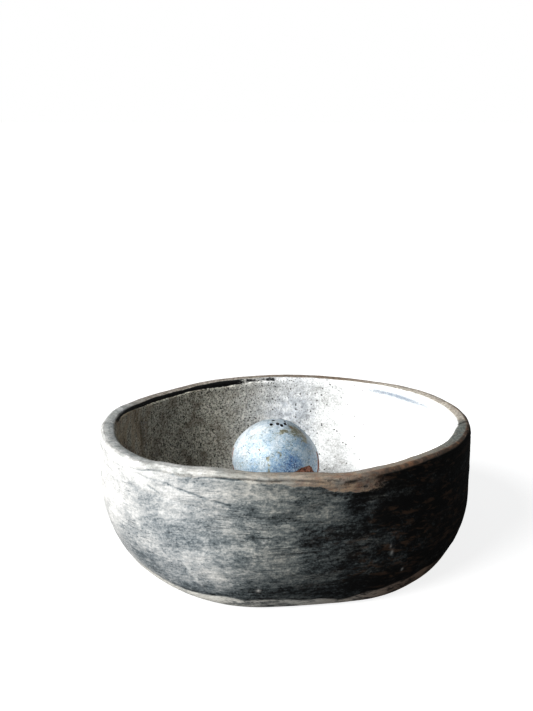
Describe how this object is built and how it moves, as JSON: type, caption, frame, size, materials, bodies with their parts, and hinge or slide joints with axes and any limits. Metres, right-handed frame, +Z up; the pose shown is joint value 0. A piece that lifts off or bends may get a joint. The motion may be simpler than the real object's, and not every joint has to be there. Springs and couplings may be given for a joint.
{
  "type": "yarn bowl",
  "caption": "Shallow hand-built round stoneware bowl with upright walls and a rolled rim, for holding a ball of yarn; a loose glazed ceramic ball with pin holes rests inside.",
  "frame": {"origin": "on the surface that the bowl stands on, under the middle of its outline", "axes": "+Z up out of the bowl's mouth, -Y towards the front of the bowl as pictured, +X to its right"},
  "size_m": [0.1506, 0.147, 0.0545],
  "materials": {
    "washed_clay": "pale slip with a blue-black oxide wash rubbed off in level streaks, matte",
    "wiped_rim": "tan and grey clay wiped bare, matte",
    "speckled_glaze": "satin white-grey glaze with fine dark speckles",
    "blue_glaze": "semi-gloss pale blue glaze breaking to olive and brown, bare red clay at its lower edge"
  },
  "bodies": {
    "bowl": {"base_slab": "washed_clay", "lower_wall_strip": "washed_clay", "upper_wall_strip": "washed_clay", "rim_coil": "wiped_rim", "inner_corner_coil": "speckled_glaze"},
    "ball": {"ball_lower_half": "blue_glaze", "ball_upper_half": "blue_glaze"}
  },
  "joints": [
    {"name": "ball_lift", "type": "slide", "parent": "bowl", "child": "ball", "axis": [0, 0, 1], "range_m": [0, 0.08]}
  ]
}
